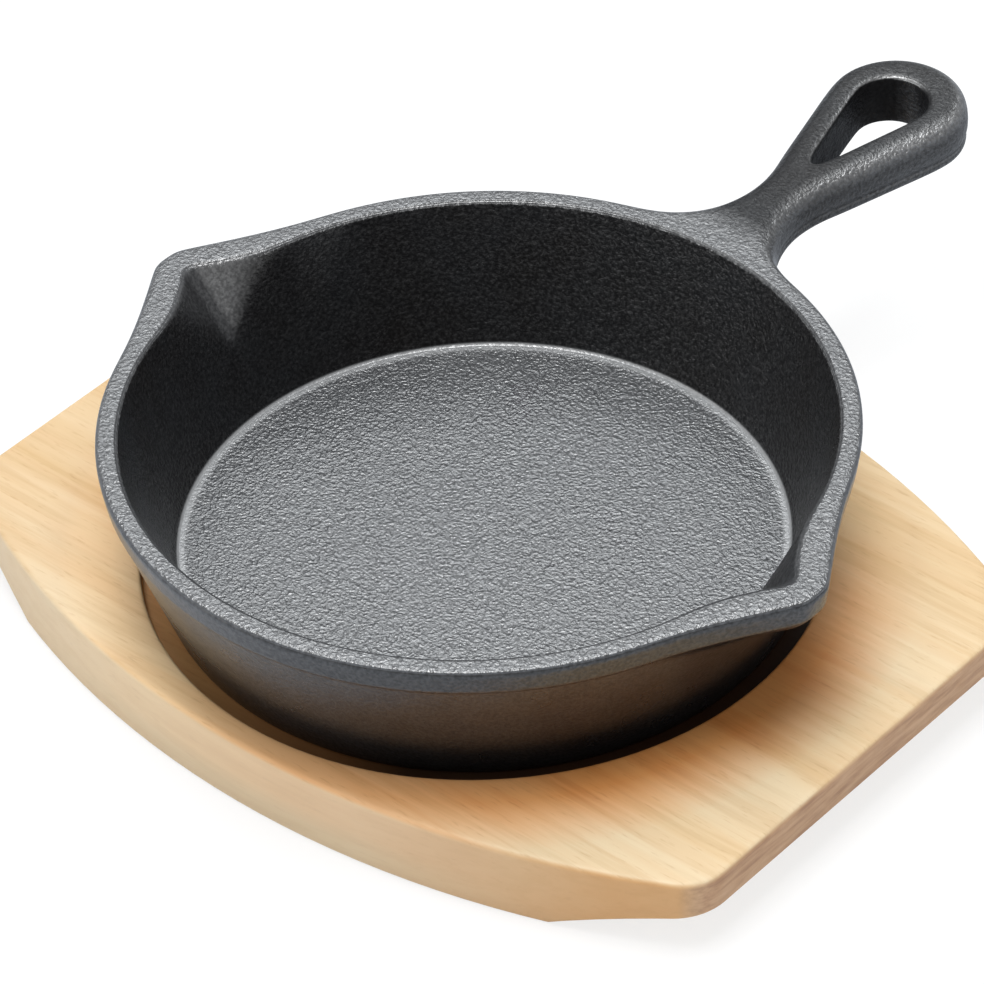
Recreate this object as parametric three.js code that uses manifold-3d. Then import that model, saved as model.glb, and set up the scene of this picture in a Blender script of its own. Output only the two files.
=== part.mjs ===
// A small cast iron serving skillet that stands in the round recess of a wooden serving board.
// Millimetres, +Z up. The origin is the centre of the board's flat underside, +X runs along the
// board's length and +Y runs out along the skillet's handle.

import * as THREE from 'three';
import { mergeVertices } from 'three/addons/utils/BufferGeometryUtils.js';
import Module from 'manifold-3d';

// Bowl of the skillet
const rimRadius = 75;
const rimWidth = 4.5;
const baseRadius = 64;
const floorInset = 3;
const panHeight = 35;
const floorThickness = 5;
const lipHeight = 5.6;
const lipTaper = 0.8;
const lipStep = 0.3;
const rimRounding = 1;
const footRounding = 1.8;
const floorFillet = 2;

// Pour spouts, one at each side of the handle
const spoutReach = 9.4;
const spoutSpread = THREE.MathUtils.degToRad(24);
const spoutDepth = 15;
const spoutSwell = 2;
const noseHalfAngle = THREE.MathUtils.degToRad(2.2);
const grooveReach = 7.6;
const grooveSpread = THREE.MathUtils.degToRad(15.5);
const grooveSwell = 1;
const grooveHalfAngle = THREE.MathUtils.degToRad(1);

// Handle
const handleReach = 72.8;
const handleEndRadius = 15.5;
const handleThickness = 9.2;
const neckWidth = 12.8;
const rootFillet = 23;
const rootLean = 3;
const crownHeight = 4.1;
const crownInset = 4.3;
const underEdge = 1.5;
const handleTilt = THREE.MathUtils.degToRad(2);

// Teardrop eye in the handle
const eyeRadius = 8;
const eyeTaper = 25.8;
const eyePointRadius = 1.6;
const eyeEndWeb = 9.1;
const eyeChamfer = 0.9;

// Serving board
const boardThickness = 16;
const recessDepth = 3;
const recessClearance = 4.4;
const recessEdge = 0.5;
const sideBorder = 5.6;
const sideBulge = 24.8;
const cornerRadius = 10;
const boardEdge = 1.2;
const gripLength = 27.8;
const gripHeight = 8;
const gripRadius = 110;

// How finely the round forms are divided
const columns = 96;
const columnCrowding = 0.3;
const profileDivisions = 2;
const wallRows = 6;
const outlineDivisions = 9;
const cutMargin = 5;

// Sizes that follow from the ones above
const floorRadius = baseRadius - floorInset;
const recessRadius = baseRadius + recessClearance;
const seatHeight = boardThickness - recessDepth;
const boardLength = 2 * (recessRadius + gripLength);
const boardWidth = 2 * (recessRadius + sideBorder);
const handleTip = rimRadius + handleReach;

const wasm = await Module();
wasm.setup();

// A closed three.js geometry as a solid that can be joined and cut. The triangles that collapse
// where a turned profile meets its axis are left out.
function solid(geometry) {
  const bare = geometry.clone();
  bare.deleteAttribute('normal');
  bare.deleteAttribute('uv');
  const merged = mergeVertices(bare, 1e-4);
  const vertProperties = new Float32Array(merged.attributes.position.array);
  const corners = merged.index.array;
  const kept = [];
  for (let i = 0; i < corners.length; i += 3) {
    const [a, b, c] = corners.slice(i, i + 3);
    if (a !== b && b !== c && c !== a) {
      kept.push(a, b, c);
    }
  }
  const triVerts = new Uint32Array(kept);
  return new wasm.Manifold(new wasm.Mesh({ numProp: 3, vertProperties, triVerts }));
}

function geometryOf(body) {
  const { vertProperties, triVerts } = body.getMesh();
  const geometry = new THREE.BufferGeometry();
  geometry.setAttribute('position', new THREE.BufferAttribute(vertProperties, 3));
  geometry.setIndex(new THREE.BufferAttribute(triVerts, 1));
  geometry.computeVertexNormals();
  return geometry;
}

// Moves every vertex of a geometry through a function of its position
function reshape(geometry, move) {
  const positions = geometry.attributes.position;
  const point = new THREE.Vector3();
  for (let i = 0; i < positions.count; i += 1) {
    point.fromBufferAttribute(positions, i);
    move(point);
    positions.setXYZ(i, point.x, point.y, point.z);
  }
  return geometry;
}

// A path through corners given as [x, y, radius], each corner rounded by an arc of its radius
function roundedPath(corners) {
  const path = new THREE.Path();
  corners.forEach(([x, y, radius = 0], i) => {
    const corner = new THREE.Vector2(x, y);
    if (i === 0) {
      path.moveTo(x, y);
      return;
    }
    if (radius === 0) {
      path.lineTo(x, y);
      return;
    }
    const before = new THREE.Vector2(...corners[i - 1].slice(0, 2)).sub(corner).normalize();
    const after = new THREE.Vector2(...corners[i + 1].slice(0, 2)).sub(corner).normalize();
    const halfAngle = Math.acos(before.dot(after)) / 2;
    const inward = before.clone().add(after).normalize();
    const centre = corner.clone().addScaledVector(inward, radius / Math.sin(halfAngle));
    const start = corner.clone().addScaledVector(before, radius / Math.tan(halfAngle));
    const end = corner.clone().addScaledVector(after, radius / Math.tan(halfAngle));
    path.lineTo(start.x, start.y);
    start.sub(centre);
    end.sub(centre);
    path.absarc(centre.x, centre.y, radius, start.angle(), end.angle(), start.cross(end) < 0);
  });
  return path;
}

// Outside of a spout and the groove inside it: how far they reach out at the rim, the angle to each
// side over which they die away, how full they swell below the rim, and half the width of the nose
const spout = { reach: spoutReach, spread: spoutSpread, swell: spoutSwell, nose: noseHalfAngle };
const groove = { reach: grooveReach, spread: grooveSpread, swell: grooveSwell, nose: grooveHalfAngle };

// How far a spout pushes the wall out at an angle from its middle, at a share of its depth.
// Two hollow flanks meet in a blunt nose, and the beak narrows as it dies away down the wall.
function spoutPush(angle, depth, { reach, spread, swell, nose }) {
  const width = spread * (1 - depth);
  if (width <= nose) {
    return 0;
  }
  const fromNose = (angle ** 4 + nose ** 4) ** 0.25;
  const flank = Math.max(0, 1 - fromNose / width) / (1 - nose / spread);
  return reach * (1 - depth ** swell) * flank ** 2;
}

// A turned body from a profile of radius and height, with both spouts pushed out of its wall.
// The spouts keep their full form down to the fade height, and the columns crowd towards them.
function spoutedBody(profile, beak, fadeHeight) {
  const geometry = new THREE.LatheGeometry(profile, columns);
  geometry.rotateX(Math.PI / 2);
  return reshape(geometry, (point) => {
    const radius = Math.hypot(point.x, point.y);
    if (radius < 1e-6) {
      return;
    }
    const even = Math.atan2(point.y, point.x);
    const angle = even - columnCrowding * Math.sin(2 * even);
    const fromSpout = Math.asin(Math.abs(Math.sin(angle)));
    const depth = THREE.MathUtils.mapLinear(point.z, fadeHeight, panHeight - spoutDepth, 0, 1);
    const pushed = radius + spoutPush(fromSpout, THREE.MathUtils.clamp(depth, 0, 1), beak);
    point.x = pushed * Math.cos(angle);
    point.y = pushed * Math.sin(angle);
  });
}

// Point at a height on the straight wall between two profile points
function wallPoint([fromRadius, fromHeight], [toRadius, toHeight], height) {
  return [THREE.MathUtils.mapLinear(height, fromHeight, toHeight, fromRadius, toRadius), height];
}

// Points that divide a straight wall into rows, so that a spout can bend it
function wallCorners(from, to) {
  const corners = [];
  for (let row = 1; row < wallRows; row += 1) {
    corners.push(wallPoint(from, to, THREE.MathUtils.lerp(from[1], to[1], row / wallRows)));
  }
  return corners;
}

// Outside of the bowl as a full body, from the foot up over the lip to the rim
function bowlOutside() {
  const lipFoot = panHeight - lipHeight;
  const wallTop = [rimRadius - lipTaper - lipStep, lipFoot];
  const fadeFoot = wallPoint([baseRadius, 0], wallTop, panHeight - spoutDepth);
  const profile = roundedPath([
    [0, 0],
    [baseRadius, 0, footRounding],
    fadeFoot,
    ...wallCorners(fadeFoot, wallTop),
    wallTop,
    [rimRadius - lipTaper, lipFoot + lipStep],
    [rimRadius, panHeight, rimRounding],
    [0, panHeight],
  ]);
  return solid(spoutedBody(profile.getPoints(profileDivisions), spout, lipFoot));
}

// Hollow of the bowl, from the middle of its floor up past the rim
function bowlHollow() {
  const floorEdge = [floorRadius, floorThickness];
  const rimEdge = [rimRadius - rimWidth, panHeight];
  const fadeFoot = wallPoint(floorEdge, rimEdge, panHeight - spoutDepth);
  const wallTop = wallPoint(floorEdge, rimEdge, panHeight - rimRounding);
  const profile = roundedPath([
    [0, floorThickness],
    [...floorEdge, floorFillet],
    fadeFoot,
    ...wallCorners(fadeFoot, wallTop),
    wallTop,
    [rimEdge[0] + rimRounding, panHeight],
    [rimEdge[0] + rimRounding, panHeight + cutMargin],
    [0, panHeight + cutMargin],
  ]);
  return solid(spoutedBody(profile.getPoints(profileDivisions), groove, panHeight));
}

// Plan of the handle: fillets that leave the rim, straight flanks and a round end.
// It runs on into the bowl, where the hollow cuts it back to the wall.
function handlePlan() {
  const filletX = neckWidth / 2 + rootFillet;
  const filletY = Math.sqrt((rimRadius + rootFillet) ** 2 - filletX ** 2);
  const endY = handleTip - handleEndRadius;
  const apart = Math.hypot(filletX, endY - filletY);
  const turn = Math.acos((rootFillet + handleEndRadius) / apart);
  const toFillet = Math.atan2(filletY - endY, filletX);
  const flank = toFillet + turn;
  const leaveRim = Math.atan2(filletY, filletX) + Math.PI;
  const rootX = filletX * rimRadius / (rimRadius + rootFillet);
  const rootY = filletY * rimRadius / (rimRadius + rootFillet) - rimWidth - 2 * crownInset;
  const plan = new THREE.Shape();
  plan.moveTo(-rootX, rootY);
  plan.lineTo(rootX, rootY);
  plan.absarc(filletX, filletY, rootFillet, leaveRim, flank + Math.PI - 2 * Math.PI, true);
  plan.absarc(0, endY, handleEndRadius, flank, Math.PI - flank, false);
  plan.absarc(-filletX, filletY, rootFillet, 2 * Math.PI - flank, Math.PI - leaveRim, true);
  return plan;
}

// The handle's top climbs a little from the rim to the tip, above a level underside
function riseAt(y) {
  return (y - rimRadius) * Math.tan(handleTilt);
}

// Bar of the handle with a rounded crown and a small rounding below. At the root its sides lean in
// like the bowl's wall, so that they run out into it.
function handleBar() {
  const sideHeight = handleThickness - crownHeight - underEdge;
  const bar = new THREE.ExtrudeGeometry(handlePlan(), {
    depth: sideHeight,
    bevelThickness: crownHeight,
    bevelSize: crownInset,
    bevelOffset: -crownInset,
    bevelSegments: 4,
    curveSegments: outlineDivisions,
  });
  reshape(bar, (point) => {
    if (point.z > 0) {
      point.z += riseAt(point.y);
    } else {
      const radius = Math.hypot(point.x, point.y);
      const lean = rootLean * (1 - THREE.MathUtils.smoothstep(radius, rimRadius, rimRadius + rootFillet));
      point.x *= 1 - lean / radius;
      point.y *= 1 - lean / radius;
      point.z *= underEdge / crownHeight;
    }
    point.z += panHeight - crownHeight - sideHeight;
  });
  return solid(bar);
}

// Teardrop plan of the eye, its point towards the bowl
function eyePlan() {
  const roundY = handleTip - eyeEndWeb - eyeRadius;
  const pointY = roundY - eyeTaper + eyePointRadius;
  const flank = Math.asin((eyeRadius - eyePointRadius) / (roundY - pointY));
  const plan = new THREE.Shape();
  plan.absarc(0, roundY, eyeRadius, -flank, Math.PI + flank, false);
  plan.absarc(0, pointY, eyePointRadius, Math.PI + flank, 2 * Math.PI - flank, false);
  return plan;
}

// Straight hole of the eye, opened by a chamfer at its upper and its lower edge
function eyeCut() {
  const bottom = panHeight - handleThickness;
  const hole = new THREE.ExtrudeGeometry(eyePlan(), {
    depth: handleThickness + 2 * cutMargin,
    bevelEnabled: false,
    curveSegments: outlineDivisions,
  });
  hole.translate(0, 0, bottom - cutMargin);
  const flare = new THREE.ExtrudeGeometry(eyePlan(), {
    depth: cutMargin,
    bevelThickness: eyeChamfer,
    bevelSize: eyeChamfer,
    bevelSegments: 1,
    curveSegments: outlineDivisions,
  });
  const lower = flare.clone().translate(0, 0, bottom - cutMargin);
  const upper = reshape(flare.clone(), (point) => {
    point.z += panHeight + riseAt(point.y);
  });
  return solid(hole).add(solid(lower)).add(solid(upper));
}

function skilletGeometry() {
  const casting = bowlOutside().add(handleBar()).subtract(bowlHollow());
  return geometryOf(casting.subtract(eyeCut()));
}

// Plan of the board: straight ends, bowed sides and rounded corners
function boardPlan() {
  const halfLength = boardLength / 2;
  const bowRadius = (halfLength ** 2 + sideBulge ** 2) / (2 * sideBulge);
  const bowCentre = boardWidth / 2 - bowRadius;
  const cornerX = halfLength - cornerRadius;
  const cornerY = bowCentre + Math.sqrt((bowRadius - cornerRadius) ** 2 - cornerX ** 2);
  const meet = Math.atan2(cornerY - bowCentre, cornerX);
  const plan = new THREE.Shape();
  plan.absarc(cornerX, cornerY, cornerRadius, 0, meet, false);
  plan.absarc(0, bowCentre, bowRadius, meet, Math.PI - meet, false);
  plan.absarc(-cornerX, cornerY, cornerRadius, Math.PI - meet, Math.PI, false);
  plan.absarc(-cornerX, -cornerY, cornerRadius, Math.PI, Math.PI + meet, false);
  plan.absarc(0, -bowCentre, bowRadius, Math.PI + meet, 2 * Math.PI - meet, false);
  plan.absarc(cornerX, -cornerY, cornerRadius, -meet, 0, false);
  return plan;
}

// Round recess that the skillet's foot stands in
function recessCut() {
  const profile = roundedPath([
    [0, seatHeight],
    [recessRadius, seatHeight],
    [recessRadius, boardThickness - recessEdge],
    [recessRadius + recessEdge, boardThickness],
    [recessRadius + recessEdge, boardThickness + cutMargin],
    [0, boardThickness + cutMargin],
  ]);
  const recess = new THREE.LatheGeometry(profile.getPoints(), columns);
  recess.rotateX(Math.PI / 2);
  return solid(recess);
}

// Scoop under one end of the board, for the fingers: a shallow arc that climbs to the end face
function gripCut() {
  const inner = new THREE.Vector2(boardLength / 2 - gripLength, 0);
  const outer = new THREE.Vector2(boardLength / 2, gripHeight);
  const chord = outer.clone().sub(inner);
  const drop = Math.sqrt(gripRadius ** 2 - chord.lengthSq() / 4);
  const downward = new THREE.Vector2(chord.y, -chord.x).normalize();
  const centre = inner.clone().add(outer).multiplyScalar(0.5).addScaledVector(downward, drop);
  const from = inner.clone().sub(centre).angle();
  const to = outer.clone().sub(centre).angle();
  const section = new THREE.Shape();
  section.moveTo(inner.x, -cutMargin);
  section.lineTo(inner.x, inner.y);
  section.absarc(centre.x, centre.y, gripRadius, from, to, true);
  section.lineTo(outer.x + cutMargin, gripHeight);
  section.lineTo(outer.x + cutMargin, -cutMargin);
  const scoop = new THREE.ExtrudeGeometry(section, {
    depth: boardWidth,
    bevelEnabled: false,
    curveSegments: outlineDivisions,
  });
  scoop.translate(0, 0, -boardWidth / 2);
  scoop.rotateX(Math.PI / 2);
  return scoop;
}

function boardGeometry() {
  const plank = new THREE.ExtrudeGeometry(boardPlan(), {
    depth: boardThickness - 2 * boardEdge,
    bevelThickness: boardEdge,
    bevelSize: boardEdge,
    bevelOffset: -boardEdge,
    bevelSegments: 2,
    curveSegments: outlineDivisions,
  });
  plank.translate(0, 0, boardEdge);
  let board = solid(plank).subtract(recessCut());
  for (const turn of [0, Math.PI]) {
    board = board.subtract(solid(gripCut().rotateZ(turn)));
  }
  return geometryOf(board);
}

// Seasoned black iron with a soft sheen
function seasonedIron() {
  return new THREE.MeshStandardMaterial({ color: 0x2a2b2d, roughness: 0.55, metalness: 0.35 });
}

// Pale sanded hardwood
function paleHardwood() {
  return new THREE.MeshStandardMaterial({ color: 0xe6c694, roughness: 0.7, metalness: 0 });
}

const board = new THREE.Mesh(boardGeometry(), paleHardwood());
board.name = 'serving_board';

const skillet = new THREE.Mesh(skilletGeometry(), seasonedIron());
skillet.name = 'skillet';
skillet.position.z = seatHeight;

const servingPan = new THREE.Group();
servingPan.add(board, skillet);

export default servingPan;
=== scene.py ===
# %% [markdown]
# # A cast iron serving pan on its board
# A small skillet, poured in one piece, stands in the round recess of a pale wooden board.
# The measured solids of both pieces are packed already, and this lesson gives them their looks.
# The first step loads those solids as a fixed frame. Each piece made later stands in the same
# place, in metres, and takes over from one of them.

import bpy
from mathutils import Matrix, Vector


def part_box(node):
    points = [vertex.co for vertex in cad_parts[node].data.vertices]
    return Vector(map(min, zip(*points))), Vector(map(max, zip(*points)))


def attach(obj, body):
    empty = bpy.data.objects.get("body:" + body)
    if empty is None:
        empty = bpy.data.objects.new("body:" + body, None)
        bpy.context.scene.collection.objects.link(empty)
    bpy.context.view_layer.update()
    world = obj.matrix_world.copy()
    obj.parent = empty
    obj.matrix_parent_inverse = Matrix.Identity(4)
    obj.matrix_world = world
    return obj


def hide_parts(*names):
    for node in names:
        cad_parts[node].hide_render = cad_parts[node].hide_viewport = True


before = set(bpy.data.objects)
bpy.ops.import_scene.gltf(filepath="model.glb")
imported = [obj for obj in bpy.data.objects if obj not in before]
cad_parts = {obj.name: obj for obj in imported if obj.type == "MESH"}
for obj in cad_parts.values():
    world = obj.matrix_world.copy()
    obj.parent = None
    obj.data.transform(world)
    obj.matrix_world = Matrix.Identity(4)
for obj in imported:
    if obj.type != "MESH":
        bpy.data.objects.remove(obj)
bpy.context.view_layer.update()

import math

import bmesh
import bpy
from mathutils import Matrix, Vector

mm = 0.001

# %% [markdown]
# ## Camera
# A photograph fixes where its camera stood: the round rim shows as an ellipse, and the board's
# edges run towards their vanishing points. The angles below were fitted to those lines. A camera
# could be aimed by eye with a Track To constraint, but writing its three axes into a matrix keeps
# the small roll of a hand-held shot exact.

# %% Camera at the photograph's viewing angle
camera_azimuth = math.radians(42.722)
camera_elevation = math.radians(39.801)
camera_roll = math.radians(-2.810)
camera_distance = 1.05665
camera_slide = (1.50 * mm, 10.19 * mm)
board_top = 16 * mm
image_pixels = 984
focal_pixels = 5326
sensor_width = 36

back = Vector((
    math.sin(camera_azimuth) * math.cos(camera_elevation),
    -math.cos(camera_azimuth) * math.cos(camera_elevation),
    math.sin(camera_elevation),
))
level_right = Vector((math.cos(camera_azimuth), math.sin(camera_azimuth), 0))
level_up = back.cross(level_right)
right = level_right * math.cos(camera_roll) + level_up * math.sin(camera_roll)
up = level_up * math.cos(camera_roll) - level_right * math.sin(camera_roll)
stand = back * camera_distance + right * camera_slide[0] + up * camera_slide[1]
stand.z += board_top

camera_data = bpy.data.cameras.new("camera")
camera_data.sensor_width = sensor_width
camera_data.lens = focal_pixels * sensor_width / image_pixels
camera = bpy.data.objects.new("camera", camera_data)
turn = Matrix((right, up, back)).transposed().to_4x4()
camera.matrix_world = Matrix.Translation(stand) @ turn
bpy.context.scene.collection.objects.link(camera)
bpy.context.scene.camera = camera
print("camera at", [round(value, 3) for value in stand], "lens", round(camera_data.lens, 1), "mm")

# %% [markdown]
# ## The bowl
# A skillet's bowl is a turned shape: one section, spun round the middle, gives all of it. The wall
# leans outwards, an upright lip with a small step under it stiffens the edge, and the rim is level.
# A cylinder could be extruded and scaled ring by ring, but a drawn section shows every size at
# once. It is drawn in millimetres, from its corners.

# %% Corners of the bowl's section
rim_radius = 75
rim_width = 4.5
base_radius = 64
pan_height = 35
floor_height = 5
floor_radius = 61


def section_point(radius, height):
    """A point of the section, in the plane of the spout at the +X side."""
    return Vector((radius, 0, height))


under_middle = section_point(0, 0)
foot = section_point(base_radius, 0)
wall_top = section_point(73.9, 29.4)
lip_foot = section_point(74.2, 29.7)
rim_outside = section_point(rim_radius, pan_height)
rim_inside = section_point(rim_radius - rim_width, pan_height)
floor_edge = section_point(floor_radius, floor_height)
floor_middle = section_point(0, floor_height)
wall_lean = math.degrees(math.atan2(wall_top.x - foot.x, wall_top.z - foot.z))
print("outer wall leans out by", round(wall_lean, 1), "degrees")

# %% [markdown]
# A subdivision surface will round the bowl later, and such a surface never passes through a corner:
# it cuts it off. Two extra points beside a corner decide how much it cuts, so each real rounding
# gets its corner and two helpers at a distance worked out from the radius. The walls get points
# too, close together where the handle and the spouts will need faces.

# %% Rows of the bowl's section
foot_rounding, rim_rounding, floor_rounding = 1.8, 1, 2
ring_radii = (22, 42)
wall_heights = (12, 16, 19, 21.5, 23.8)
root_heights = (25.8, 27.3, 28.6)
lip_height = 31
inside_heights = (31, 28, 25, 22, 19.5, 16, 11)


def at_height(low, high, height):
    """The point at this height on the straight line between two others."""
    return low.lerp(high, (height - low.z) / (high.z - low.z))


def eased_corner(before, corner, after, radius):
    """A corner and its two helpers, which a subdivision surface rounds to about this radius."""
    first = (before - corner).normalized()
    second = (after - corner).normalized()
    half = first.angle(second) / 2
    reach = 3 * radius * (1 / math.sin(half) - 1) / math.cos(half)
    return [corner + first * reach, corner, corner + second * reach]


outer_corner = eased_corner(lip_foot, rim_outside, rim_inside, rim_rounding)
handle_rows = [at_height(foot, wall_top, height) for height in root_heights]
handle_rows += [wall_top, lip_foot, at_height(lip_foot, rim_outside, lip_height)]
handle_rows += outer_corner[:2]

section = [under_middle] + [section_point(radius, 0) for radius in ring_radii]
section += eased_corner(under_middle, foot, wall_top, foot_rounding)
section += [at_height(foot, wall_top, height) for height in wall_heights]
section += handle_rows
rim_row = len(section) - 1
section += outer_corner[2:] + eased_corner(rim_outside, rim_inside, floor_edge, rim_rounding)
inner_row = len(section) - 2
section += [at_height(floor_edge, rim_inside, height) for height in inside_heights]
section += eased_corner(rim_inside, floor_edge, floor_middle, floor_rounding)
section += [section_point(radius, floor_height) for radius in reversed(ring_radii)] + [floor_middle]
print("section of", len(section), "points, rim corner is number", rim_row)

# %% [markdown]
# The spin turns the section into 96 columns of faces. The first and last points lie on the axis,
# where every column meets, so merging doubles closes both poles and the seam at once. A small
# table of the vertices by row and column lets later steps find a place without searching the mesh.

# %% Spin the bowl
columns = 96
seam_distance = 0.001


def spin_section(shell, points, steps):
    """Spins a chain of points once round the middle and closes its seam and its poles."""
    chain = [shell.verts.new(point) for point in points]
    links = [shell.edges.new(pair) for pair in zip(chain, chain[1:])]
    bmesh.ops.spin(shell, geom=chain + links, cent=(0, 0, 0), axis=(0, 0, 1), angle=math.tau,
                   steps=steps, use_merge=True)
    bmesh.ops.remove_doubles(shell, verts=shell.verts, dist=seam_distance)


def row_and_column(vert):
    """Where a vertex of the spun bowl stands: its point of the section and its step of the spin."""
    flat = section_point(math.hypot(vert.co.x, vert.co.y), vert.co.z)
    row = min(range(len(section)), key=lambda index: (section[index] - flat).length)
    column = round(math.atan2(vert.co.y, vert.co.x) / math.tau * columns) % columns
    return row, column


skillet = bmesh.new()
spin_section(skillet, section, columns)
bowl_table = {row_and_column(vert): vert for vert in skillet.verts}
print("bowl of", len(skillet.verts), "vertices and", len(skillet.faces), "faces")

# %% [markdown]
# ## The pour spouts
# On each side the rim runs out into a soft beak, and inside it a groove leads up to the nose. The
# founder's pattern had them carved on, so they melt into the wall below. Proportional editing could
# pull them out by hand. A formula does the same and can be repeated: the push is strongest at the
# nose on the rim, and it fades round the rim and down the wall.

# %% How far a spout pushes the wall
spout_reach, spout_angle, nose_blunt = 9.4, math.radians(24), math.radians(2.1)
blunt_power = 8


def spout_push(from_nose, share, reach, angle_at_rim, blunt):
    """The push at an angle from the nose. The share goes from 1 at the rim to 0 at the spout's foot."""
    width = angle_at_rim * share
    if width <= blunt:
        return 0
    blunted = (from_nose ** blunt_power + blunt ** blunt_power) ** (1 / blunt_power)
    flank = max(0, 1 - blunted / width) / (1 - blunt / angle_at_rim)
    return reach * flank ** 2


beside_nose = spout_push(math.radians(6), 1, spout_reach, spout_angle, nose_blunt)
print("six degrees beside the nose the rim moves out by", round(beside_nose, 1), "mm")

# %% [markdown]
# Now every vertex of the bowl moves out by its own push. The outside gives way over a wider angle
# than the groove, and the top of the rim lies between the two. The columns crowd towards the noses
# first, so that the sharpest part gets the most faces.

# %% Push out the pour spouts
groove_reach, groove_angle, groove_blunt = 7.6, math.radians(15.5), math.radians(0.7)
spout_depth = 15
spout_foot = pan_height - spout_depth
nose_crowding = 0.36


def clamped(share):
    return min(1, max(0, share))


def mix(first, second, share):
    return first + (second - first) * share


def pushed_out(row, angle):
    """The push on one point of the section, outside, inside or in between on the rim's top."""
    point = section[row]
    from_nose = math.asin(clamped(abs(math.sin(angle))))
    outer_share = clamped((point.z - spout_foot) / (wall_top.z - spout_foot))
    inner_share = clamped((point.z - spout_foot) / spout_depth)
    outer = spout_push(from_nose, outer_share, spout_reach, spout_angle, nose_blunt)
    outer *= 1 - (1 - outer_share) ** 2
    inner = spout_push(from_nose, inner_share, groove_reach, groove_angle, groove_blunt)
    inner *= inner_share
    return mix(outer, inner, clamped((row - rim_row) / (inner_row - rim_row)))


for (row, column), vert in bowl_table.items():
    even = column * math.tau / columns
    angle = even - nose_crowding * math.sin(2 * even)
    radius = section[row].x
    if radius > 0:
        radius += pushed_out(row, angle)
    vert.co.x = radius * math.cos(angle)
    vert.co.y = radius * math.sin(angle)
print("nose stands", round(bowl_table[rim_row, 0].co.x, 2), "mm from the middle")

# %% [markdown]
# ## The handle
# The handle is part of the same casting, so it grows out of the bowl's own faces: a block of faces
# below the rim, six columns wide, is extruded outwards again and again. A separate bar could be
# joined on with a boolean, but then the round fillets at its root would have to be modelled over
# the seam. This helper extrudes a block and returns the same little table for the new faces.

# %% A helper that extrudes a block of faces
reach_columns = 3
under_row = rim_row - len(handle_rows) + 1
block_rows = list(range(rim_row + 1, under_row - 1, -1))
middle_column = columns // 4


def only_verts(geometry):
    return [item for item in geometry if isinstance(item, bmesh.types.BMVert)]


def spot(vert):
    return tuple(round(value, 4) for value in vert.co)


def faces_of(block):
    """The skillet's faces that lie between the vertices of a block."""
    members = set(block.values())
    return [face for face in skillet.faces if members.issuperset(face.verts)]


def extruded(block):
    """Extrudes the faces of a block and returns the block's table on the new faces."""
    faces = faces_of(block)
    made = bmesh.ops.extrude_face_region(skillet, geom=faces)["geom"]
    fresh = {spot(vert): vert for vert in only_verts(made)}
    moved = {key: fresh[spot(vert)] for key, vert in block.items()}
    bmesh.ops.delete(skillet, geom=faces, context="FACES")
    return moved


handle_block = {
    (side, index): bowl_table[row, middle_column - side]
    for side in range(-reach_columns, reach_columns + 1)
    for index, row in enumerate(block_rows)
}
print("block of", len(handle_block), "vertices,", len(block_rows), "rows high")

# %% [markdown]
# Seen from its end, the handle has a broad crown with round shoulders, a shallow groove along each
# flank and a small rounding underneath. A list of insets from the side and levels for the same rows
# describes that shape once. The crown climbs gently away from the rim. A curve with a bevel object
# could sweep the section too, but it would not share the bowl's faces.

# %% Section of the handle
handle_depth = 9.2
handle_under = pan_height - handle_depth
handle_rise = math.tan(math.radians(2))
crown_insets = [4.3, 2.4, 0.85, 0.05, 0, 0.9, 0.2, 0.5, 2]
crown_drops = [0, 0.4, 1.8, 4.1]
under_rises = [3.5, 2.7, 2, 0.5, 0]


def section_levels(length, drops, rises):
    """The levels of the rows: the first hang below the crown, the others stand on the underside."""
    top = pan_height + max(0, length - rim_radius) * handle_rise
    return [top - drop for drop in drops] + [handle_under + rise for rise in rises]


def crown_levels(length):
    return section_levels(length, crown_drops, under_rises)


print("handle is", round(crown_levels(rim_radius)[0] - handle_under, 1), "mm thick at the rim")

# %% [markdown]
# Looked at from above, the root narrows along two round fillets that leave the rim smoothly. Each
# section of the root stands on the fillets with its sides and leads a little in the middle. The
# first sections change over from the shape of the rim to the shape of the handle.

# %% Grow the root of the handle
fillet_centre, fillet_radius = Vector((29.4, 93.49)), 23
fillet_start, fillet_end = math.radians(252.5), math.radians(164.9)
root_sections, changing_sections = 6, 3
fillet_step = (fillet_start - fillet_end) / root_sections
middle_lead, lead_fade = 3.7, 1.5
rim_insets = [rim_radius - section[row].x for row in block_rows]
rim_levels = [section[row].z for row in block_rows]


def round_control(radius, step):
    """The radius at which points this far apart give a subdivided arc of the wanted radius."""
    return radius * 3 / (2 + math.cos(step))


def place_root(block, number):
    """Moves a block to one section of the root: its sides on the fillets, the rest between them."""
    done = number / root_sections
    angle = mix(fillet_start, fillet_end, done)
    outwards = Vector((math.cos(angle), math.sin(angle)))
    changed = clamped(number / changing_sections)
    lead = middle_lead * (1 - done ** lead_fade)
    for (side, index), vert in block.items():
        inset = mix(rim_insets[index], crown_insets[index], changed)
        corner = fillet_centre + outwards * (round_control(fillet_radius, fillet_step) + inset)
        share = side / reach_columns
        length = corner.y + (1 - share ** 2) * lead
        level = mix(rim_levels[index], crown_levels(length)[index], changed)
        vert.co = (corner.x * share, length, level)


for number in range(1, root_sections + 1):
    handle_block = extruded(handle_block)
    place_root(handle_block, number)
print("root reaches", round(handle_block[0, 0].co.y, 1), "mm")

# %% [markdown]
# ## The hanging eye
# A teardrop opening near the end lets the skillet hang on a hook. A boolean could cut it out, but
# the cut would leave long thin faces round its edge. Here the block splits in two at the point of
# the eye instead: the faces in the middle stay behind as the wall of the point, and two arms will
# grow on beside the opening. It narrows a little downwards, as a cast hole does.

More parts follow.
